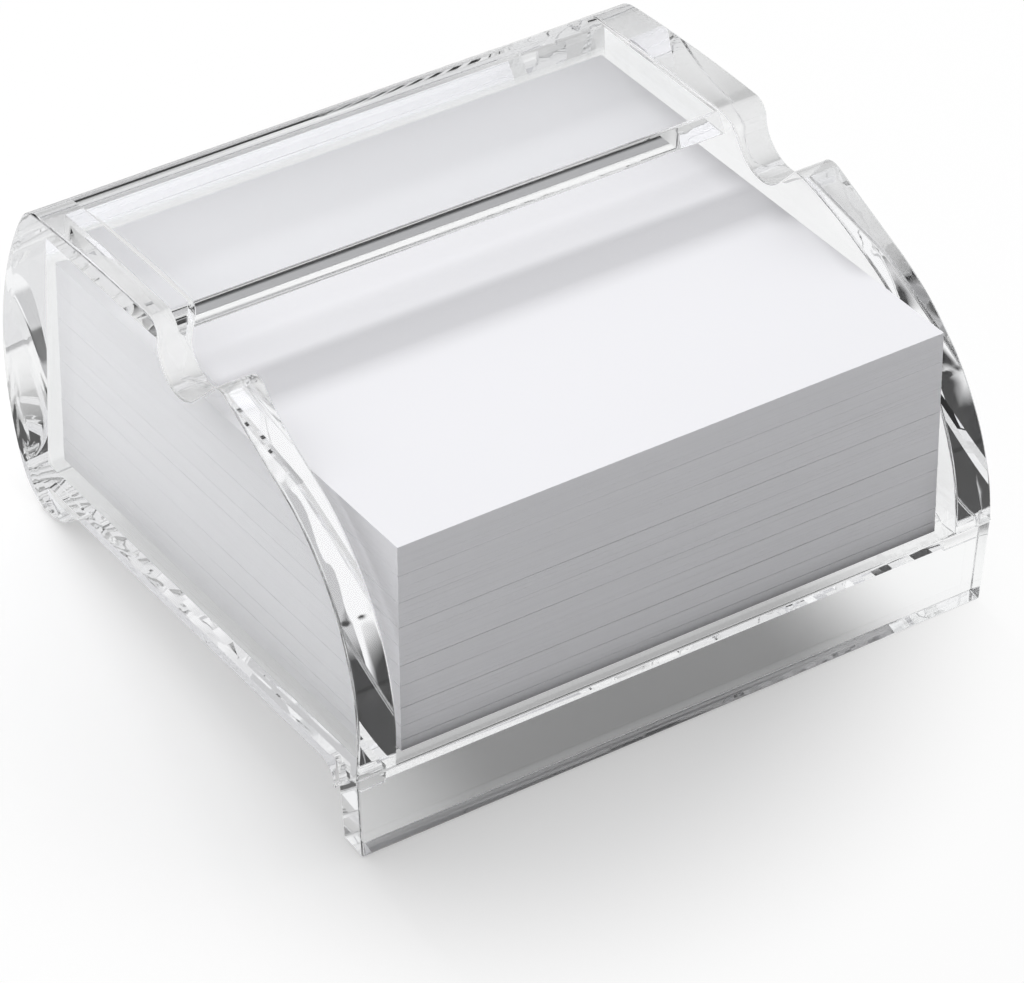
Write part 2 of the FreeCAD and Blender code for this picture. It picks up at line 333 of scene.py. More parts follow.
def clear_piece(name, node, outline, low_side, high_side, stations, bonded, fold_lines=(), split_share=0.0,
                rim_finish=None):
    """Closed mesh of a clear piece: its skin round the outline and two end faces, points that fall on one
    place merged.

    bonded(points, normals) says which triangles lie against another piece of the same body."""
    shape = outline.joined()
    rows, row_normals = swept_rows(shape, low_side, high_side, stations, split_share)
    columns = rows.shape[1]
    skin = skin_triangles(len(rows), columns)
    column = skin % columns
    on_run = shape["bonds"].astype(bool)[column].all(axis=1)
    on_rim = shape["rims"].astype(bool)[column].all(axis=1)
    parts = [(rows.reshape(-1, 3), row_normals.reshape(-1, 3), skin, on_run, on_rim)]
    for row, side, facing in ((rows[0], low_side, -1.0), (rows[-1], high_side, 1.0)):
        placed, normals, triangles = end_face(row[:, 1:], side, facing, fold_lines)
        parts.append((placed, normals, triangles, *np.zeros((2, len(triangles)), bool)))

    points = np.concatenate([part[0] for part in parts])
    normals = np.concatenate([part[1] for part in parts])
    starts = np.cumsum([0] + [len(part[0]) for part in parts[:-1]])
    triangles = np.concatenate([part[2] + start for part, start in zip(parts, starts)])
    on_run, on_rim = (np.concatenate([part[k] for part in parts]) for k in (3, 4))
    middle = points[triangles].mean(axis=1)
    facing = normals[triangles].mean(axis=1)
    finish = np.where(on_run | bonded(middle, facing), bonded_slot, np.where(on_rim, rim_slot, open_slot))

    steps = np.round(points / merging_step).astype(np.int64)
    _, first, merged = np.unique(steps, axis=0, return_index=True, return_inverse=True)
    merged = merged.reshape(-1)
    corners = merged[triangles]
    whole = (corners != np.roll(corners, -1, axis=1)).all(axis=1)
    corners, corner_normals, finish = corners[whole], normals[triangles[whole]], finish[whole]
    used, corners = np.unique(corners, return_inverse=True)
    corners = corners.reshape(-1, 3)

    mesh = bpy.data.meshes.new(name)
    placed = stood_on_desk(points[first[used]])
    mesh.vertices.add(len(placed))
    mesh.vertices.foreach_set("co", placed.ravel())
    mesh.loops.add(corners.size)
    mesh.loops.foreach_set("vertex_index", corners.ravel().astype(np.int32))
    mesh.polygons.add(len(corners))
    mesh.polygons.foreach_set("loop_start", np.arange(0, corners.size, 3, dtype=np.int32))
    mesh.polygons.foreach_set("material_index", finish.astype(np.int32))
    mesh.update(calc_edges=True)
    mesh.shade_smooth()
    mesh.normals_split_custom_set(turned_back(corner_normals).reshape(-1, 3).tolist())
    piece = bpy.data.objects.new(name, mesh)
    bpy.context.scene.collection.objects.link(piece)
    for material in (clear_acrylic, bonded_face, rim_finish or clear_rim):
        mesh.materials.append(material)
    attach(piece, "holder")
    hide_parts(node)


class Maths:
    """A shader socket that can be used in sums and products, and that adds any other node it needs."""

    def __init__(self, tree, socket=None):
        self.tree, self.socket = tree, socket

    def node(self, kind, output, inputs, **settings):
        """Adds a node: its settings first, then values or links for its sockets."""
        made = self.tree.nodes.new(kind)
        stops = settings.pop("stops", None)
        for name, value in settings.items():
            setattr(made, name, value)
        if stops:
            ramp = made.color_ramp
            while len(ramp.elements) < len(stops):
                ramp.elements.new(0.5)
            for element, (place, colour) in zip(ramp.elements, stops):
                element.position, element.color = place, colour
        for name, value in inputs.items():
            if isinstance(value, Maths):
                self.tree.links.new(value.socket, made.inputs[name])
            else:
                made.inputs[name].default_value = value
        return Maths(self.tree, made.outputs[output])

    def sum_node(self, operation, first, second):
        """Adds a Math node on two values."""
        return self.node("ShaderNodeMath", 0, {0: first, 1: second}, operation=operation)

    def __add__(self, other):
        return self.sum_node("ADD", self, other)

    def __radd__(self, other):
        return self.sum_node("ADD", other, self)

    def __sub__(self, other):
        return self.sum_node("SUBTRACT", self, other)

    def __rsub__(self, other):
        return self.sum_node("SUBTRACT", other, self)

    def __mul__(self, other):
        return self.sum_node("MULTIPLY", self, other)

    def __rmul__(self, other):
        return self.sum_node("MULTIPLY", other, self)


def new_material(name, colour, roughness):
    """Material with one main shader, its colour and its roughness, and the start of its shader maths."""
    material = bpy.data.materials.new(name)
    material.use_nodes = True
    shader = material.node_tree.nodes["Principled BSDF"]
    shader.inputs["Base Color"].default_value = (*colour, 1.0)
    shader.inputs["Roughness"].default_value = roughness
    return material, shader, Maths(material.node_tree)


acrylic_index = 1.49
acrylic_tint = (0.985, 0.99, 0.99)
face_let_through = 0.98
rim_let_through = 0.22
smudge_scale = 60.0
smudge_detail = 3.0
smudge_roughness = 0.01


def new_acrylic(name, let_through):
    """Polished clear acrylic: it bends what is seen through it, and lets light fall through it unbent.
    A rim turns much of the light aside inside the sheet, so it throws a soft shadow."""
    material, shader, maths = new_material(name, acrylic_tint, 0.0)
    shader.inputs["Transmission Weight"].default_value = 1.0
    shader.inputs["IOR"].default_value = acrylic_index
    place = maths.node("ShaderNodeTexCoord", "Object", {})
    smudges = maths.node("ShaderNodeTexNoise", "Fac",
                         {"Vector": place, "Scale": smudge_scale, "Detail": smudge_detail})
    maths.tree.links.new(((smudges - 0.5) * smudge_roughness).socket, shader.inputs["Roughness"])
    from_lamp = maths.node("ShaderNodeLightPath", "Is Shadow Ray", {})
    from_matt = maths.node("ShaderNodeLightPath", "Is Diffuse Ray", {})
    unbent = maths.node("ShaderNodeBsdfTransparent", 0, {0: (let_through, let_through, let_through, 1.0)})
    bent = Maths(maths.tree, shader.outputs[0])
    either = maths.sum_node("MAXIMUM", from_lamp, from_matt)
    shown = maths.node("ShaderNodeMixShader", 0, {0: either, 1: bent, 2: unbent})
    maths.tree.links.new(shown.socket, maths.tree.nodes["Material Output"].inputs["Surface"])
    return material


clear_acrylic = new_acrylic("clear_acrylic", face_let_through)
clear_rim = new_acrylic("clear_acrylic_rim", rim_let_through)
bonded_face, bonded_shader, _ = new_material("bonded_face", (1.0, 1.0, 1.0), 0.5)
bonded_shader.inputs["Alpha"].default_value = 0.0

# The rear edge in the side view: the bow runs into the heel below it and the rear top arc above it, and
# that one into the crown, each without a corner
bow_setback = rear_most - bay_depth - rear_wall_thickness_at_top
bow_radius = ((cover_top - bow_height) ** 2 + bow_setback ** 2) / (2 * bow_setback)
bow_centre = np.array([rear_most - bow_radius, bow_height])
heel_height = heel_radius - heel_drop
heel_reach = math.sqrt((bow_radius - heel_radius) ** 2 - (heel_height - bow_height) ** 2)
heel_centre = np.array([bow_centre[0] + heel_reach, heel_height])
top_span = np.linalg.norm(crown_centre - bow_centre)
top_reach, top_other = bow_radius - rear_top_radius, crown_radius - rear_top_radius
top_turn = math.acos((top_span ** 2 + top_reach ** 2 - top_other ** 2) / (2 * top_span * top_reach))
rear_top_centre = on_circle(bow_centre, top_reach, turn_between(bow_centre, crown_centre) + top_turn)
seam_turn = math.asin((cover_top - rear_top_centre[1]) / rear_top_radius)
bow_start_turn = turn_between(bow_centre, rear_top_centre)
bow_end_turn = turn_between(bow_centre, heel_centre)
seam_heel_turn = -math.acos((bay_depth - heel_centre[0]) / heel_radius)

edge_waves = 0.012 * mm
waves_end = 34.0 * mm


def panel_outline(inner_edge, outer_edge, inner_is_low):
    """The panel's side view: arcs that run into each other from the toe over the top to the hook."""
    outline = Outline()

    def add(run, inner=0.0, outer=outer_edge, waves=0.0, bond=False):
        """Adds a run with the edge radius at the panel's inner and outer face."""
        low, high = (inner, outer) if inner_is_low else (outer, inner)
        outline.add(run, low, high, waves, bond, rim=not bond)

    front_centre = np.array([panel_front + front_arc_radius, front_arc_start])
    hump_turn = turn_between(front_centre, hump_centre)
    ramp_reach = np.linalg.norm(hump_centre - front_centre)
    ramp_turn = hump_turn + math.acos((front_arc_radius - hump_radius) / ramp_reach)
    drop_reach = np.linalg.norm(notch_centre - hump_centre)
    drop_turn = turn_between(hump_centre, notch_centre) + math.acos((hump_radius + notch_radius) / drop_reach)
    corner_y = riser_y + riser_corner_radius
    corner_reach = crown_radius - riser_corner_radius
    corner_z = crown_centre[1] + math.sqrt(corner_reach ** 2 - (corner_y - crown_centre[0]) ** 2)
    corner_centre = np.array([corner_y, corner_z])
    corner_turn = turn_between(crown_centre, corner_centre)
    crown_end_turn = turn_between(crown_centre, rear_top_centre)

    fillet_z = relief_height - heel_fillet_radius
    fillet_reach = math.sqrt((heel_radius + heel_fillet_radius) ** 2 - (heel_height - fillet_z) ** 2)
    fillet_centre = np.array([heel_centre[0] - fillet_reach, fillet_z])
    heel_end_turn = turn_between(heel_centre, fillet_centre)
    if heel_end_turn > 0:
        heel_end_turn -= 2 * math.pi
    hook_centre = np.array([hook_back + heel_fillet_radius, fillet_z])

    arc_start = np.array([panel_front, front_arc_start])
    add(straight([panel_front, 0], arc_start), inner_edge)
    add(rounded(front_centre, front_arc_radius, math.pi, ramp_turn), inner_edge)
    add(straight(on_circle(front_centre, front_arc_radius, ramp_turn),
                 on_circle(hump_centre, hump_radius, ramp_turn)), inner_edge)
    add(rounded(hump_centre, hump_radius, ramp_turn, drop_turn), inner_edge)
    add(straight(on_circle(hump_centre, hump_radius, drop_turn),
                 on_circle(notch_centre, -notch_radius, drop_turn)), inner_edge)
    add(rounded(notch_centre, notch_radius, drop_turn - math.pi, 0.0), inner_edge)
    add(straight([riser_y, notch_centre[1]], [riser_y, corner_z]), inner_edge)
    add(rounded(corner_centre, riser_corner_radius, math.pi, corner_turn), inner_edge)
    add(rounded(crown_centre, crown_radius, corner_turn, crown_end_turn), inner_edge)
    add(rounded(rear_top_centre, rear_top_radius, crown_end_turn, seam_turn), inner_edge)
    add(rounded(rear_top_centre, rear_top_radius, seam_turn, bow_start_turn))
    add(rounded(bow_centre, bow_radius, bow_start_turn, bow_end_turn), waves=edge_waves)
    add(rounded(heel_centre, heel_radius, bow_end_turn, seam_heel_turn), waves=edge_waves)
    add(rounded(heel_centre, heel_radius, seam_heel_turn, heel_end_turn), waves=edge_waves)
    add(rounded(fillet_centre, heel_fillet_radius, turn_between(fillet_centre, heel_centre), math.pi / 2))
    add(straight([fillet_centre[0], relief_height], [waves_end, relief_height]), waves=edge_waves)
    add(straight([waves_end, relief_height], [hook_centre[0], relief_height]))
    add(rounded(hook_centre, heel_fillet_radius, math.pi / 2, math.pi))
    add(straight([hook_back, fillet_z], [foot_back, fillet_z]))
    add(straight([foot_back, fillet_z], [foot_back, 0]), outer=0.0, bond=True)
    add(straight([foot_back, 0], [panel_front, 0]), outer=0.0, bond=True)
    return outline


mostly_across = 0.5


def against_inner_face(middle, facing, panel_sign):
    """Places of a panel's inner face where the cover, the rear wall or the base plate is bonded on."""
    y, z = middle[:, 1], middle[:, 2]
    inner = facing[:, 0] * panel_sign < -mostly_across
    cover = (y > cover_front) & (y < bay_depth) & (z > cover_underside) & (z < cover_top)
    rear = (y > bay_depth) & (z < cover_top)
    base = (y > foot_back) & (y < bay_depth) & (z < 0) & (z > -base_thickness)
    return inner & (cover | rear | base)


wall_fold_bottom = -4.5 * mm
seam_fold_length = 2.6 * mm
base_fold_height = -0.001 * mm
panel_folds = [
    ((cover_front, cover_underside), (cover_front, cover_top)),
    ((cover_front, cover_top), (bay_depth, cover_top)),
    ((cover_front, cover_underside), (bay_depth, cover_underside)),
    ((bay_depth, wall_fold_bottom), (bay_depth, cover_top)),
    ((bay_depth, cover_top), (bay_depth + seam_fold_length, cover_top)),
    ((foot_back, base_fold_height), (bay_depth, base_fold_height)),
]
edge_stations = np.linspace(0, 1, 12)
clear_piece("right_side_panel_clear", "right_side_panel", panel_outline(edge_radius, edge_radius, True),
            bay_side, outer_side, edge_stations,
            lambda middle, facing: against_inner_face(middle, facing, 1.0), panel_folds)
clear_piece("left_side_panel_clear", "left_side_panel", panel_outline(edge_radius, edge_radius, False),
            lambda z: -outer_side(z), lambda z: -bay_side(z), edge_stations,
            lambda middle, facing: against_inner_face(middle, facing, -1.0), panel_folds)

# Top cover
# A flat plate of the same clear sheet over the rear of the sheets. Its ends are bonded to the panels and
# its rear edge to the rear wall. Only its front edge is free, polished, with softened corners.


def cornered(corners, radii):
    """Outline of straight runs clockwise through corners, each rounded by its own radius. A radius of
    zero leaves the corner sharp. Returns the runs in order, the first from the first corner's end."""
    corners = [np.asarray(corner, float) for corner in corners]
    count = len(corners)
    starts, ends, arcs = [], [], []
    for k in range(count):
        before, here, after = corners[k - 1], corners[k], corners[(k + 1) % count]
        back = (before - here) / np.linalg.norm(before - here)
        ahead = (after - here) / np.linalg.norm(after - here)
        half = math.acos(np.clip(back @ ahead, -1, 1)) / 2
        reach = radii[k] / math.tan(half)
        starts.append(here + back * reach)
        ends.append(here + ahead * reach)
        if radii[k]:
            middle = (back + ahead) / np.linalg.norm(back + ahead)
            centre = here + middle * radii[k] / math.sin(half)
            first, last = turn_between(centre, starts[k]), turn_between(centre, ends[k])
            arcs.append(rounded(centre, radii[k], first, last if last < first else last - 2 * math.pi))
        else:
            arcs.append(None)
    runs = []
    for k in range(count):
        if arcs[k]:
            runs.append(arcs[k])
        runs.append(straight(ends[k], starts[(k + 1) % count]))
    return runs


def left_bay_side(z):
    """Inner face of the left panel: the right one's, mirrored."""
    return -bay_side(z)


fully_across = 0.7


def bonded_ends(middle, facing):
    """The two ends of a piece between the side panels, which are bonded to them."""
    return np.abs(facing[:, 0]) > fully_across


cover_outline = Outline()
cover_corners = [(cover_front, cover_underside), (cover_front, cover_top), (bay_depth, cover_top),
                 (bay_depth, cover_underside)]
cover_front_runs = (0, 1, 2)
cover_rear_run = 4
for number, run in enumerate(cornered(cover_corners, [edge_radius, edge_radius, 0, 0])):
    cover_outline.add(run, bond=number == cover_rear_run, rim=number in cover_front_runs)
clear_piece("top_cover_clear", "top_cover", cover_outline, left_bay_side, bay_side, np.linspace(0, 1, 60),
            bonded_ends)

# Rear wall
# A thick piece behind the sheets, flat towards the bay and bowed outside in line with the panels' rear
# edges. It is bonded to the panels, the cover and the base plate, and only its top, back and inside show.

bow_let_through = 0.68
clear_bow = new_acrylic("clear_acrylic_bow", bow_let_through)
wall_outline = Outline()
seam_point = on_circle(rear_top_centre, rear_top_radius, seam_turn)
heel_seam = on_circle(heel_centre, heel_radius, seam_heel_turn)
wall_outline.add(straight([bay_depth, cover_top], seam_point))
wall_outline.add(rounded(rear_top_centre, rear_top_radius, seam_turn, bow_start_turn), rim=True)
wall_outline.add(rounded(bow_centre, bow_radius, bow_start_turn, bow_end_turn), rim=True)
wall_outline.add(rounded(heel_centre, heel_radius, bow_end_turn, seam_heel_turn), rim=True)
wall_outline.add(straight(heel_seam, [bay_depth, -base_thickness]))
wall_outline.add(straight([bay_depth, -base_thickness], [bay_depth, 0]), bond=True)
wall_outline.add(straight([bay_depth, 0], [bay_depth, cover_underside]))
wall_outline.add(straight([bay_depth, cover_underside], [bay_depth, cover_top]), bond=True)
clear_piece("rear_wall_clear", "rear_wall", wall_outline, left_bay_side, bay_side, np.linspace(0, 1, 120),
            bonded_ends, rim_finish=clear_bow)

# Base plate
# The plate that the sheets lie on. It is bonded between the panels, with its front edge against the
# foot and its rear edge against the rear wall, and it stands a little below the panels' lower edges.


def lower_edge_height(y):
    """Height of the panels' lower edge: level along the relief, falling to the heel at the back."""
    heel = heel_height - np.sqrt(np.clip(heel_radius ** 2 - (y - heel_centre[0]) ** 2, 0, None))
    return np.where(np.abs(y - heel_centre[0]) < heel_radius, np.minimum(heel, relief_height), relief_height)


def base_ends_on_panels(middle, facing):
    """The parts of the base plate's ends that lie against the panels, above their lower edges."""
    return bonded_ends(middle, facing) & (middle[:, 2] > lower_edge_height(middle[:, 1]))


base_outline = Outline()
base_corners = [(foot_back, -base_thickness), (foot_back, 0), (bay_depth, 0), (bay_depth, -base_thickness)]
base_front_and_rear_runs = (0, 2)
for number, run in enumerate(cornered(base_corners, [0, 0, 0, 0])):
    base_outline.add(run, bond=number in base_front_and_rear_runs)
base_folds = [((foot_back, relief_height), (bay_depth, relief_height))]
clear_piece("base_plate_clear", "base_plate", base_outline, left_bay_side, bay_side, np.linspace(0, 1, 60),
            base_ends_on_panels, base_folds)

# Front foot
# A tapered strip of the clear sheet under the full width of the front, which tips the holder back. The
# panels and the base plate are bonded to its top and back, and its lower face is ground level.

foot_height = 14.15 * mm
foot_taper = 0.6 * mm
foot_end_lean = math.radians(3.6)
foot_edge_radius = 0.4 * mm
squarely = 0.9


def foot_end(z):
    """End face of the foot: it draws in towards the desk."""
    return bay_half_width + panel_thickness_at_base + math.tan(foot_end_lean) * np.asarray(z, float)


def left_foot_end(z):
    """The foot's left end face: the right one, mirrored."""
    return -foot_end(z)


def against_foot(middle, facing):
    """Places of the foot's top and back where the panels or the base plate are bonded on."""
    x, z = np.abs(middle[:, 0]), middle[:, 2]
    beside_bay = x > bay_side(z)
    under_panel = (facing[:, 2] > squarely) & beside_bay
    behind_base = (facing[:, 1] > squarely) & (z > -base_thickness) & ~beside_bay
    behind_hook = (facing[:, 1] > squarely) & (z > relief_height - heel_fillet_radius) & beside_bay
    return under_panel | behind_base | behind_hook


toe = np.array([panel_front + foot_taper, -foot_height])
sole_rise = (foot_back - toe[0]) * lean_sin / lean_cos
foot_corners = [(toe[0], toe[1]), (panel_front, 0), (foot_back, 0), (foot_back, -base_thickness),
                (foot_back, relief_height - heel_fillet_radius), (foot_back, toe[1] + sole_rise)]
foot_radii = [foot_edge_radius, foot_edge_radius, 0, 0, 0, foot_edge_radius]
foot_outline = Outline()
foot_top_run = 3
for number, run in enumerate(cornered(foot_corners, foot_radii)):
    end_edge = 0.0 if number == foot_top_run else foot_edge_radius
    foot_outline.add(run, end_edge, end_edge, rim=True)
panel_share = 0.08
rows_under_panel = 8
rows_under_bay = 60
foot_stations = np.concatenate([
    np.linspace(0, panel_share, rows_under_panel),
    np.linspace(panel_share, 1 - panel_share, rows_under_bay)[1:-1],
    np.linspace(1 - panel_share, 1, rows_under_panel)])
clear_piece("front_foot_clear", "front_foot", foot_outline, left_foot_end, foot_end, foot_stations,
            against_foot, split_share=panel_share)

# Memo sheets
# A block of loose white sheets, cut square, a little out of line with each other, and one loose sheet on
# top. They part into bundles where a few sheets lie in or stick out, which shows as lines along the edges.

sheet_half_width = 45.0 * mm
sheet_depth = 84.0 * mm
sheets_bottom = 0.02 * mm
bundled_height = 33.86 * mm
bundle_shares = (0.05, 0.07, 0.09, 0.11, 0.10, 0.10, 0.09, 0.12, 0.13, 0.14)
bundle_sides = (0.4, -0.7, 0.9, -0.2, 0.6, -1.0, 0.3, -0.5, 0.8, 0.0)
bundle_fronts = (0.0, 0.8, 0.3, 1.0, 0.2, 0.7, 0.0, 0.9, 0.4, 0.6)
bundle_shift = 0.015 * mm
layer_height = 0.3 * mm
fewest_layers = 3
layer_shift = 0.008 * mm
parting_height = 0.09 * mm
parting_depths = np.array([0.0, 0.12, 0.12, 0.30, 0.08, 0.14, 0.05, 0.14, 0.04, 0.05]) * mm
top_sheet_levels = np.array([0.02, 0.12]) * mm
edge_points = 46
edge_bends = 1.3
edge_bend_share = 0.5
sheet_seed = np.random.default_rng(7)

paper_white = (0.90, 0.90, 0.93)
paper_line_grey = (0.80, 0.80, 0.82)
paper_roughness = 0.9
paper_shine = 0.2
paper, paper_shader, paper_maths = new_material("white_paper", paper_white, paper_roughness)
paper_shader.inputs["Specular IOR Level"].default_value = paper_shine
sheet_place = paper_maths.node("ShaderNodeTexCoord", "Object", {})
sheet_turn = (-math.atan2(lean_sin, lean_cos), 0.0, 0.0)
line_size = (0.12, 0.12, 0.00022)
line_detail = 2.0
line_share = 0.45
band_size = (0.3, 0.3, 0.0016)
band_detail = 1.0
band_share = 0.35
least_share = 0.05
fibre_scale = 2500.0
fibre_detail = 4.0
fibre_strength = 0.15
fibre_height = 0.05 * mm


def mixed(maths, share, first, second):
    """Colour that goes from the first to the second while the share goes from 0 to 1."""
    return maths.node("ShaderNodeMix", 2, {0: share, 6: first, 7: second}, data_type="RGBA")


def paper_lines(size, detail):
    """Noise stretched along the sheets, in the block's own directions."""
    squared = paper_maths.node("ShaderNodeMapping", "Vector",
                               {"Vector": sheet_place, "Rotation": sheet_turn, "Scale": size},
                               vector_type="TEXTURE")
    return paper_maths.node("ShaderNodeTexNoise", "Fac", {"Vector": squared, "Scale": 1.0, "Detail": detail})


edge_lines = paper_lines(line_size, line_detail) * line_share
edge_bands = paper_lines(band_size, band_detail) * band_share
edge_whiteness = edge_lines + edge_bands + least_share
paper_colour = mixed(paper_maths, edge_whiteness, (*paper_line_grey, 1.0), (*paper_white, 1.0))
paper_maths.tree.links.new(paper_colour.socket, paper_shader.inputs["Base Color"])
fibres = paper_maths.node("ShaderNodeTexNoise", "Fac",
                          {"Vector": sheet_place, "Scale": fibre_scale, "Detail": fibre_detail})
paper_relief = paper_maths.node("ShaderNodeBump", "Normal",
                                {"Height": fibres, "Strength": fibre_strength, "Distance": fibre_height})
paper_maths.tree.links.new(paper_relief.socket, paper_shader.inputs["Normal"])


def sheet_ring(inset, side, front, phase):
    """Rings round a block of sheets: a rectangle with points along each side, drawn in and shifted. A ring
    is drawn in by its inset times 1 plus half a slow sine along each side."""
    share = np.linspace(0, 1, edge_points)[:-1]
    zero, one = np.zeros_like(share), np.ones_like(share)
    across = np.concatenate([share, one, 1 - share, zero]) * 2 - 1
    back = np.concatenate([zero, share, one, 1 - share])
    run = np.concatenate([share, share, share, share])
    slow_sine = np.sin(2 * math.pi * (edge_bends * run + phase[:, None]))
    drawn = inset[:, None] * (1 + edge_bend_share * slow_sine)
    x = across * (sheet_half_width - drawn) + side[:, None]
    y = drawn + back * (sheet_depth - 2 * drawn) + front[:, None]
    return x, y


def paper_block(name, node, body, heights, inset, side, front, phase):
    """Closed block of sheets: rings at the given heights, joined upwards, with a flat bottom and top."""
    x, y = sheet_ring(inset, side, front, phase)
    count = x.shape[1]
    z = np.broadcast_to(heights[:, None], x.shape)
    ring = np.arange(count)
    level = np.arange(len(heights) - 1)[:, None] * count
    after = np.roll(ring, -1)
    walls = np.stack([level + ring, level + after, level + count + after, level + count + ring], axis=-1)
    points = stood_on_desk(np.stack([x, y, z], axis=-1)).reshape(-1, 3)
    top = (len(heights) - 1) * count + ring
    mesh = bpy.data.meshes.new(name)
    mesh.from_pydata(points, [], walls.reshape(-1, 4).tolist() + [ring[::-1].tolist(), top.tolist()])
    piece = bpy.data.objects.new(name, mesh)
    bpy.context.scene.collection.objects.link(piece)
    mesh.materials.append(paper)
    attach(piece, body)
    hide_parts(node)


bundle_bottom = sheets_bottom
for number, share in enumerate(bundle_shares):
    thickness = bundled_height * share
    layers = max(fewest_layers, round((thickness - parting_height) / layer_height))
    edges = bundle_bottom + np.concatenate([[0.0], np.linspace(parting_height, thickness, layers)])
    heights = np.repeat(edges, 2)[1:-1]
    layer_inset = bundle_shift + layer_shift * sheet_seed.random(layers)
    layer_inset[0] += parting_depths[number]
    layer_side = bundle_sides[number] * bundle_shift + layer_shift * (sheet_seed.random(layers) - 0.5)
    layer_front = np.full(layers, bundle_fronts[number] * bundle_shift)
    layer_phase = sheet_seed.random(layers)
    rings = [np.repeat(values, 2) for values in (layer_inset, layer_side, layer_front, layer_phase)]
    paper_block(f"bundle_of_sheets_{number + 1:02d}", f"memo_sheets_{number + 1:02d}", "memo_block",
                heights, *rings)
    bundle_bottom += thickness
paper_block("loose_top_sheet", "top_memo_sheet", "top_sheet", bundle_bottom + top_sheet_levels,
            *np.zeros((4, 2)))

# Floor, light and camera
# A pale matt table top, a bright studio round it, a soft lamp behind the holder, a small weak one at its
# left, and the camera. They are no part of the holder.

floor_half_size = 3.0
floor_gap = 0.2 * mm
floor_mesh = bpy.data.meshes.new("floor")
floor_corners = [(-floor_half_size, -floor_half_size), (floor_half_size, -floor_half_size),
                 (floor_half_size, floor_half_size), (-floor_half_size, floor_half_size)]
floor_mesh.from_pydata([(x, y, -floor_gap) for x, y in floor_corners], [], [(0, 1, 2, 3)])
floor = bpy.data.objects.new("floor", floor_mesh)
bpy.context.scene.collection.objects.link(floor)
floor_grey = (0.95, 0.95, 0.95)
floor_paint, floor_shader, floor_maths = new_material("pale_floor", floor_grey, 1.0)
floor_shader.inputs["Specular IOR Level"].default_value = 0.0


def seen_in_acrylic(maths):
    """1 for what is mirrored in the acrylic or seen through it."""
    return maths.sum_node("MAXIMUM", maths.node("ShaderNodeLightPath", "Is Glossy Ray", {}),
                          maths.node("ShaderNodeLightPath", "Is Transmission Ray", {}))


def seen_ray(maths):
    """1 for what the camera sees, straight or in the acrylic, and 0 for the light on the object."""
    seen_bare = maths.node("ShaderNodeLightPath", "Is Camera Ray", {})
    return maths.sum_node("MAXIMUM", seen_bare, seen_in_acrylic(maths))


def faded(maths, value, limits):
    """Smooth step from 0 at the first limit to 1 at the second."""
    start, end = limits
    return maths.node("ShaderNodeMapRange", 0, {0: value, 1: start, 2: end, 3: 0.0, 4: 1.0},
                      interpolation_type="SMOOTHSTEP")


def length_of(maths, vector):
    """Length of a vector."""
    return maths.node("ShaderNodeVectorMath", "Value", {0: vector}, operation="LENGTH")


# The glow is the share of plain white in the floor, which hides its shading, and where it changes from place
# to place it is painted light and shade. It is weaker near the holder, where the cast shadow lies, and
# weakest under it, which paints shade round and under the holder; it grows past the shadow's reach, which
# paints light over the cast shadow and cuts it short; and in the acrylic it is stronger at the right, which
# paints light there. The acrylic shows the floor in a painted darker grey, greyer still far off. The limits
# are in metres on the floor.
near_glow = 0.44
far_glow = 0.94
glow_in_acrylic = 0.50
# Share of the glow left under the holder: the lower share there paints shade under it.
glow_in_painted_holder_shade = 0.36
# Extra glow that paints light on the floor at the right, as the acrylic shows it.
painted_light_at_right = 0.42
painted_shade_across = (0.026, 0.050)
painted_shade_along = (0.042, 0.0485)
painted_shadow_centre = (-0.02, -0.01, 0.0)
painted_shadow_reach = (0.048, 0.090)
right_side = (0.020, 0.046)
far_right = (0.055, 0.080)
in_front = (0.020, 0.036)
painted_far_grey_reach = (0.45, 0.9)
# Painted shade in the acrylic: the floor that it mirrors or shows is given a darker grey, greyer still far
# off.
painted_floor_grey_in_acrylic = (0.62, 0.62, 0.62)
painted_far_floor_grey = (0.50, 0.50, 0.50)
floor_place = floor_maths.node("ShaderNodeTexCoord", "Object", {})
across_floor = floor_maths.node("ShaderNodeSeparateXYZ", "X", {0: floor_place})
along_floor = floor_maths.node("ShaderNodeSeparateXYZ", "Y", {0: floor_place})
floor_x = floor_maths.sum_node("ABSOLUTE", across_floor, 0.0)
floor_y = floor_maths.sum_node("ABSOLUTE", along_floor, 0.0)
# Painted shade: the glow falls off over the holder's footprint, so the floor there shows darker.
clear_of_painted_holder_shade = floor_maths.sum_node("MAXIMUM", faded(floor_maths, floor_x, painted_shade_across),
                                       faded(floor_maths, floor_y, painted_shade_along))
# Painted light: past the shadow's reach the floor is turned whiter for the camera, over the cast shadow.
from_painted_shadow_centre = floor_maths.node("ShaderNodeVectorMath", "Vector", {0: floor_place, 1: painted_shadow_centre},
                               operation="SUBTRACT")
past_painted_shadow_edge = faded(floor_maths, length_of(floor_maths, from_painted_shadow_centre), painted_shadow_reach)
in_acrylic = seen_in_acrylic(floor_maths)
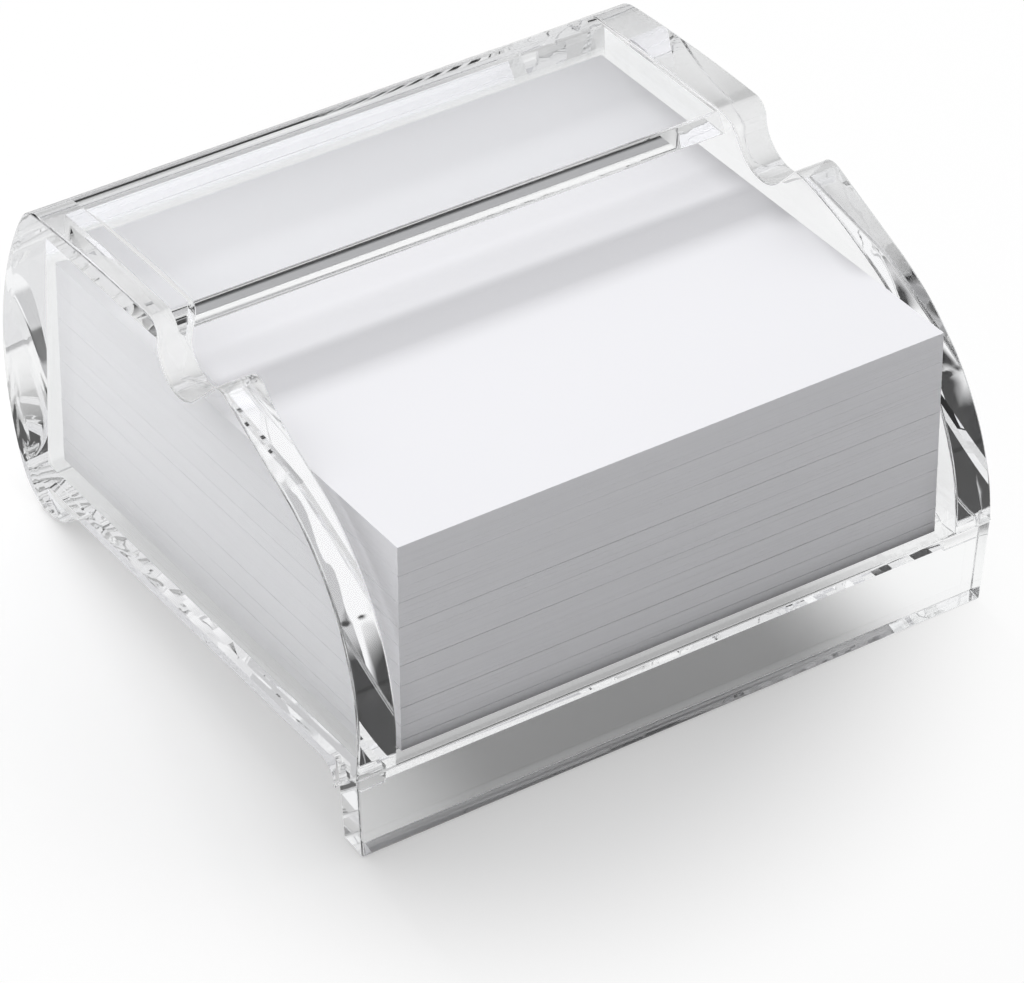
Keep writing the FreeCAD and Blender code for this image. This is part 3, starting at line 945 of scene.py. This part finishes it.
# Far off, the floor seen in the acrylic fades to the painted grey and loses its glow.
painted_far_grey_share = in_acrylic * faded(floor_maths, length_of(floor_maths, floor_place), painted_far_grey_reach)
floor_near = mixed(floor_maths, in_acrylic, (*floor_grey, 1.0), (*painted_floor_grey_in_acrylic, 1.0))
floor_colour = mixed(floor_maths, painted_far_grey_share, floor_near, (*painted_far_floor_grey, 1.0))
floor_maths.tree.links.new(floor_colour.socket, floor_shader.inputs["Base Color"])
pale_glow = floor_maths.node("ShaderNodeEmission", 0, {0: (1.0, 1.0, 1.0, 1.0), 1: 1.0})
floor_lit = Maths(floor_maths.tree, floor_shader.outputs[0])
floor_seen_bare = floor_maths.node("ShaderNodeLightPath", "Is Camera Ray", {})
near_share = floor_seen_bare * (near_glow - glow_in_acrylic) + glow_in_acrylic
# Painted light: the floor at the right, in front of the holder or far out, is whiter in the acrylic.
painted_light_front_or_far = floor_maths.sum_node("MAXIMUM", faded(floor_maths, 0 - along_floor, in_front),
                                    faded(floor_maths, across_floor, far_right))
share_of_painted_light_at_right = faded(floor_maths, across_floor, right_side) * painted_light_front_or_far
glow_with_painted_holder_shade = (clear_of_painted_holder_shade * (1 - glow_in_painted_holder_shade) + glow_in_painted_holder_shade) * near_share
# The camera's extra glow away from the holder paints light over the far part of the cast shadow.
painted_light_past_shadow = past_painted_shadow_edge * floor_seen_bare * (far_glow - near_glow)
glow_by_place = glow_with_painted_holder_shade + painted_light_past_shadow + share_of_painted_light_at_right * in_acrylic * painted_light_at_right
glow_share = seen_ray(floor_maths) * (1 - painted_far_grey_share) * glow_by_place
floor_shown = floor_maths.node("ShaderNodeMixShader", 0, {0: glow_share, 1: floor_lit, 2: pale_glow})
floor_maths.tree.links.new(floor_shown.socket, floor_maths.tree.nodes["Material Output"].inputs["Surface"])
floor_mesh.materials.append(floor_paint)

# The studio that lights the holder is bright but for a dim side in front of it. The one that the acrylic
# shows has a grey horizon, a black band behind the holder with a grey card above it, and a plain front
# half, which gives the clear pieces their grey and black streaks. The camera sees white.
dark_side = (-0.15, -0.93, 0.33)
lit_stops = [(0.0, (1.08, 1.08, 1.09, 1.0)), (0.50, (1.05, 1.05, 1.06, 1.0)),
             (0.75, (0.38, 0.38, 0.38, 1.0)), (1.0, (0.22, 0.22, 0.22, 1.0))]
horizon_grey = (0.42, 0.42, 0.43, 1.0)
band_black = (0.02, 0.02, 0.02, 1.0)
band_stops = [(0.0, horizon_grey), (0.13, horizon_grey), (0.17, band_black), (0.375, band_black),
              (0.42, (0.96, 0.96, 0.97, 1.0)), (1.0, (0.94, 0.94, 0.95, 1.0))]
card_direction = (0.385, 0.755, 0.53)
card_edge = (0.12, 0.20)
card_grey = (0.55, 0.55, 0.56, 1.0)
front_to_rear = (-0.1, 0.25)
front_grey = (0.78, 0.78, 0.79, 1.0)
world = bpy.data.worlds.new("studio")
bpy.context.scene.world = world
world.use_nodes = True
world_maths = Maths(world.node_tree)
background = world.node_tree.nodes["Background"]
sky_direction = world_maths.node("ShaderNodeTexCoord", "Generated", {})
facing_dark = world_maths.node("ShaderNodeVectorMath", "Value", {0: sky_direction, 1: dark_side},
                               operation="DOT_PRODUCT")
lit_sky = world_maths.node("ShaderNodeValToRGB", "Color", {0: facing_dark * 0.5 + 0.5}, stops=lit_stops)
sky_height = world_maths.node("ShaderNodeSeparateXYZ", "Z", {0: sky_direction})
banded_sky = world_maths.node("ShaderNodeValToRGB", "Color", {0: sky_height}, stops=band_stops)
from_card = world_maths.node("ShaderNodeVectorMath", "Value", {0: sky_direction, 1: card_direction},
                             operation="DISTANCE")
rear_sky = mixed(world_maths, faded(world_maths, from_card, card_edge), card_grey, banded_sky)
sky_depth = world_maths.node("ShaderNodeSeparateXYZ", "Y", {0: sky_direction})
seen_sky = mixed(world_maths, faded(world_maths, sky_depth, front_to_rear), front_grey, rear_sky)
sky_in_acrylic = mixed(world_maths, seen_in_acrylic(world_maths), lit_sky, seen_sky)
sky_seen_bare = world_maths.node("ShaderNodeLightPath", "Is Camera Ray", {})
sky = mixed(world_maths, sky_seen_bare, sky_in_acrylic, (1.0, 1.0, 1.0, 1.0))
world.node_tree.links.new(sky.socket, background.inputs["Color"])
background.inputs["Strength"].default_value = 1.0


def softbox(name, place, aim, width, height, power):
    """Rectangular soft light that faces the place it is aimed at."""
    lamp = bpy.data.lights.new(name, "AREA")
    lamp.shape, lamp.size, lamp.size_y, lamp.energy = "RECTANGLE", width, height, power
    box = bpy.data.objects.new(name, lamp)
    box.location = place
    box.rotation_euler = (Vector(aim) - Vector(place)).to_track_quat("-Z", "Y").to_euler()
    bpy.context.scene.collection.objects.link(box)
    box.visible_glossy = box.visible_transmission = box.visible_camera = False


softbox("rear_softbox", place=(0.1, 1.5, 0.64), aim=(0.0, 0.0, 0.0), width=0.4, height=0.18, power=18.6)
softbox("left_card", place=(-0.085, 0.08, 0.065), aim=(-0.045, 0.035, 0.03), width=0.05, height=0.05,
        power=0.016)

camera_data = bpy.data.cameras.new("camera")
camera_data.lens = 203.55
camera_data.sensor_width = 36.0
camera_data.clip_start = 0.05
camera = bpy.data.objects.new("camera", camera_data)
bpy.context.scene.collection.objects.link(camera)
bpy.context.scene.camera = camera
view_azimuth = math.radians(36.144)
view_elevation = math.radians(40.617)
view_roll = math.radians(-4.011)
view_distance = 806.2 * mm
view_aim = Vector((-9.968 * mm, -19.448 * mm, 25.0 * mm))
ahead = Vector((math.sin(view_azimuth) * math.cos(view_elevation),
                math.cos(view_azimuth) * math.cos(view_elevation), -math.sin(view_elevation)))
level_right = ahead.cross(Vector((0, 0, 1))).normalized()
level_down = ahead.cross(level_right)
view_right = math.cos(view_roll) * level_right + math.sin(view_roll) * level_down
view_up = view_right.cross(ahead)
turned = Matrix((view_right, view_up, -ahead)).transposed()
camera.matrix_world = Matrix.Translation(view_aim - ahead * view_distance) @ turned.to_4x4()

scene = bpy.context.scene
scene.view_settings.view_transform = "Standard"
scene.cycles.max_bounces = 64
scene.cycles.transmission_bounces = 24
scene.cycles.transparent_max_bounces = 64
scene.cycles.diffuse_bounces = 5
scene.cycles.glossy_bounces = 24
